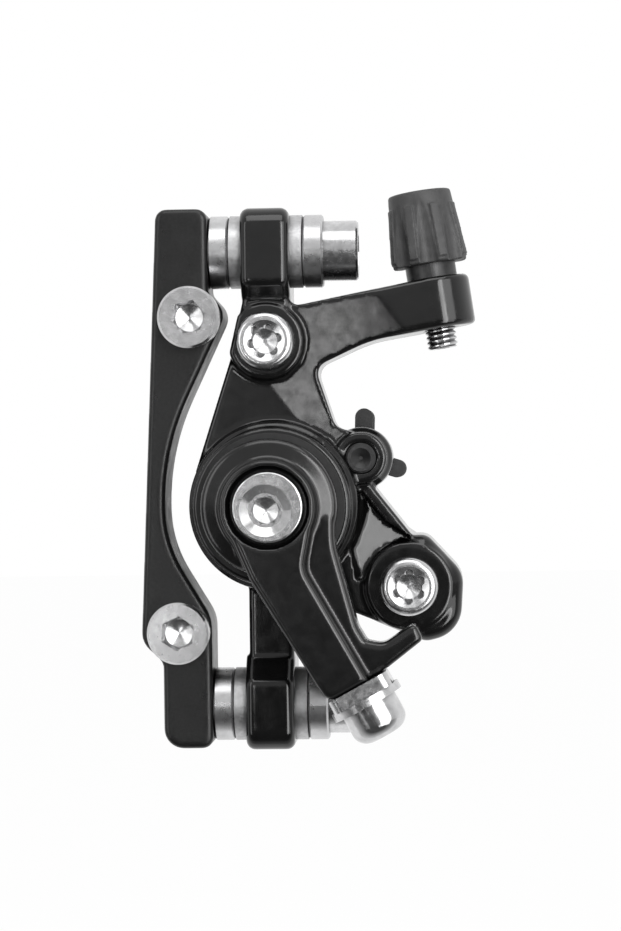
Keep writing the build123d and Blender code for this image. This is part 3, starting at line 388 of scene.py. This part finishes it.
CAMERA_AIM = Vector((0.005682, -0.011, 0.006499))
CAMERA_DISTANCE = 0.45
CAMERA_YAW = math.radians(3.0)
CAMERA_ROLL = math.radians(-0.76)
PIXELS_PER_METRE = 6080.0
PICTURE_HEIGHT = 931
SENSOR_HEIGHT = 24.0


def camera():
    """The photograph's camera, a little to the right of the frame's front and rolled a little."""
    back = Vector((math.sin(CAMERA_YAW), -math.cos(CAMERA_YAW), 0))
    right = Vector((math.cos(CAMERA_YAW), math.sin(CAMERA_YAW), 0))
    up = Vector((0, 0, 1))
    turned_right = math.cos(CAMERA_ROLL) * right + math.sin(CAMERA_ROLL) * up
    turned_up = -math.sin(CAMERA_ROLL) * right + math.cos(CAMERA_ROLL) * up
    data = bpy.data.cameras.new("camera")
    data.sensor_fit = "VERTICAL"
    data.sensor_height = SENSOR_HEIGHT
    data.lens = SENSOR_HEIGHT * PIXELS_PER_METRE * CAMERA_DISTANCE / PICTURE_HEIGHT
    data.clip_start = 0.02
    data.clip_end = 20
    obj = bpy.data.objects.new("camera", data)
    bpy.context.scene.collection.objects.link(obj)
    turn = Matrix((turned_right, turned_up, back)).transposed().to_4x4()
    obj.matrix_world = Matrix.Translation(CAMERA_AIM + CAMERA_DISTANCE * back) @ turn
    bpy.context.scene.camera = obj


camera()


# Light, floor and background

LIGHT_AIM = Vector((0.005, 0, 0.005))


def softbox(name, azimuth, elevation, distance, width, height, radiance):
    """An area lamp aimed at the object. Azimuth is to the right of the frame's front."""
    a, e = math.radians(azimuth), math.radians(elevation)
    way = Vector((math.sin(a) * math.cos(e), -math.cos(a) * math.cos(e), math.sin(e)))
    data = bpy.data.lights.new(name, "AREA")
    data.shape = "RECTANGLE"
    data.size = width
    data.size_y = height
    data.energy = radiance * math.pi * width * height
    obj = bpy.data.objects.new(name, data)
    bpy.context.scene.collection.objects.link(obj)
    obj.location = LIGHT_AIM + way * distance
    obj.rotation_euler = way.to_track_quat("Z", "Y").to_euler()


softbox("right_box", 40, 4, distance=0.7, width=0.42, height=0.70, radiance=2.2)
softbox("right_strip", 22, 4, distance=0.69, width=0.15, height=0.70, radiance=5.5)
softbox("left_box", -40, 4, distance=0.7, width=0.20, height=0.70, radiance=2.0)
softbox("top_box", 6, 58, distance=0.7, width=0.60, height=0.40, radiance=2.2)
softbox("web_box", -12, -3.0, distance=0.7, width=0.060, height=0.092, radiance=5.6)


# The world's strength in front rises over the horizon, and from there it rises to the back
HORIZON = (-0.04, 0.05)
FRONT_STRENGTH = (0.07, 0.55)
FRONT_TO_BACK = (-0.55, 0.3)
BACK_STRENGTH = 1.0


def studio_world():
    """White behind the object, dim on the camera's side, and plain white where the camera looks."""
    world = bpy.data.worlds.new("studio")
    bpy.context.scene.world = world
    world.use_nodes = True
    tree = world.node_tree
    tree.nodes.clear()
    out = tree.nodes.new("ShaderNodeOutputWorld")
    place = tree.nodes.new("ShaderNodeTexCoord")
    split = tree.nodes.new("ShaderNodeSeparateXYZ")
    tree.links.new(place.outputs["Generated"], split.inputs[0])
    front = map_range(tree, split.outputs["Z"], *HORIZON, *FRONT_STRENGTH)
    band = map_range(tree, split.outputs["Y"], *FRONT_TO_BACK, FRONT_STRENGTH[0], BACK_STRENGTH)
    tree.links.new(front.outputs["Result"], band.inputs["To Min"])
    room = tree.nodes.new("ShaderNodeBackground")
    room.inputs["Color"].default_value = WHITE
    tree.links.new(band.outputs["Result"], room.inputs["Strength"])
    seen = tree.nodes.new("ShaderNodeBackground")
    seen.inputs["Color"].default_value = WHITE
    seen.inputs["Strength"].default_value = 1.0
    path = tree.nodes.new("ShaderNodeLightPath")
    mix = tree.nodes.new("ShaderNodeMixShader")
    tree.links.new(path.outputs["Is Camera Ray"], mix.inputs[0])
    tree.links.new(room.outputs[0], mix.inputs[1])
    tree.links.new(seen.outputs[0], mix.inputs[2])
    tree.links.new(mix.outputs[0], out.inputs[0])


studio_world()


FLOOR_SIZE = 3.0
FLOOR_FRONT = -0.02
FLOOR_HEIGHT = -0.13
FLOOR_GRAIN_SCALE = 120.0
FLOOR_SHADES = (0.84, 0.90)
FLOOR_GLOW = 0.95


def floor():
    """A pale floor below the object. The camera and reflections see it nearly white, with a faint shadow."""
    mesh = bpy.data.meshes.new("floor")
    mesh.from_pydata([
        (-FLOOR_SIZE, FLOOR_FRONT, FLOOR_HEIGHT),
        (FLOOR_SIZE, FLOOR_FRONT, FLOOR_HEIGHT),
        (FLOOR_SIZE, FLOOR_SIZE, FLOOR_HEIGHT),
        (-FLOOR_SIZE, FLOOR_SIZE, FLOOR_HEIGHT),
    ], [], [(0, 1, 2, 3)])
    obj = bpy.data.objects.new("floor", mesh)
    bpy.context.scene.collection.objects.link(obj)
    material = bpy.data.materials.new("floor")
    material.use_nodes = True
    tree = material.node_tree
    shader = tree.nodes["Principled BSDF"]
    grain = tree.nodes.new("ShaderNodeTexNoise")
    grain.inputs["Scale"].default_value = FLOOR_GRAIN_SCALE
    paper = tree.nodes.new("ShaderNodeValToRGB")
    for element, shade in zip(paper.color_ramp.elements, FLOOR_SHADES):
        element.color = (shade, shade, shade, 1)
    tree.links.new(grain.outputs["Fac"], paper.inputs["Fac"])
    tree.links.new(paper.outputs["Color"], shader.inputs["Base Color"])
    shader.inputs["Roughness"].default_value = 0.9
    shader.inputs["Specular IOR Level"].default_value = 0.1
    glow = tree.nodes.new("ShaderNodeEmission")
    path = tree.nodes.new("ShaderNodeLightPath")
    seen = tree.nodes.new("ShaderNodeMath")
    seen.operation = "ADD"
    tree.links.new(path.outputs["Is Camera Ray"], seen.inputs[0])
    tree.links.new(path.outputs["Is Glossy Ray"], seen.inputs[1])
    share = tree.nodes.new("ShaderNodeMath")
    share.operation = "MULTIPLY"
    share.inputs[1].default_value = FLOOR_GLOW
    tree.links.new(seen.outputs[0], share.inputs[0])
    mix = tree.nodes.new("ShaderNodeMixShader")
    tree.links.new(share.outputs[0], mix.inputs[0])
    tree.links.new(shader.outputs[0], mix.inputs[1])
    tree.links.new(glow.outputs[0], mix.inputs[2])
    tree.links.new(mix.outputs[0], tree.nodes["Material Output"].inputs["Surface"])
    mesh.materials.append(material)


floor()
bpy.context.scene.view_settings.view_transform = "Standard"
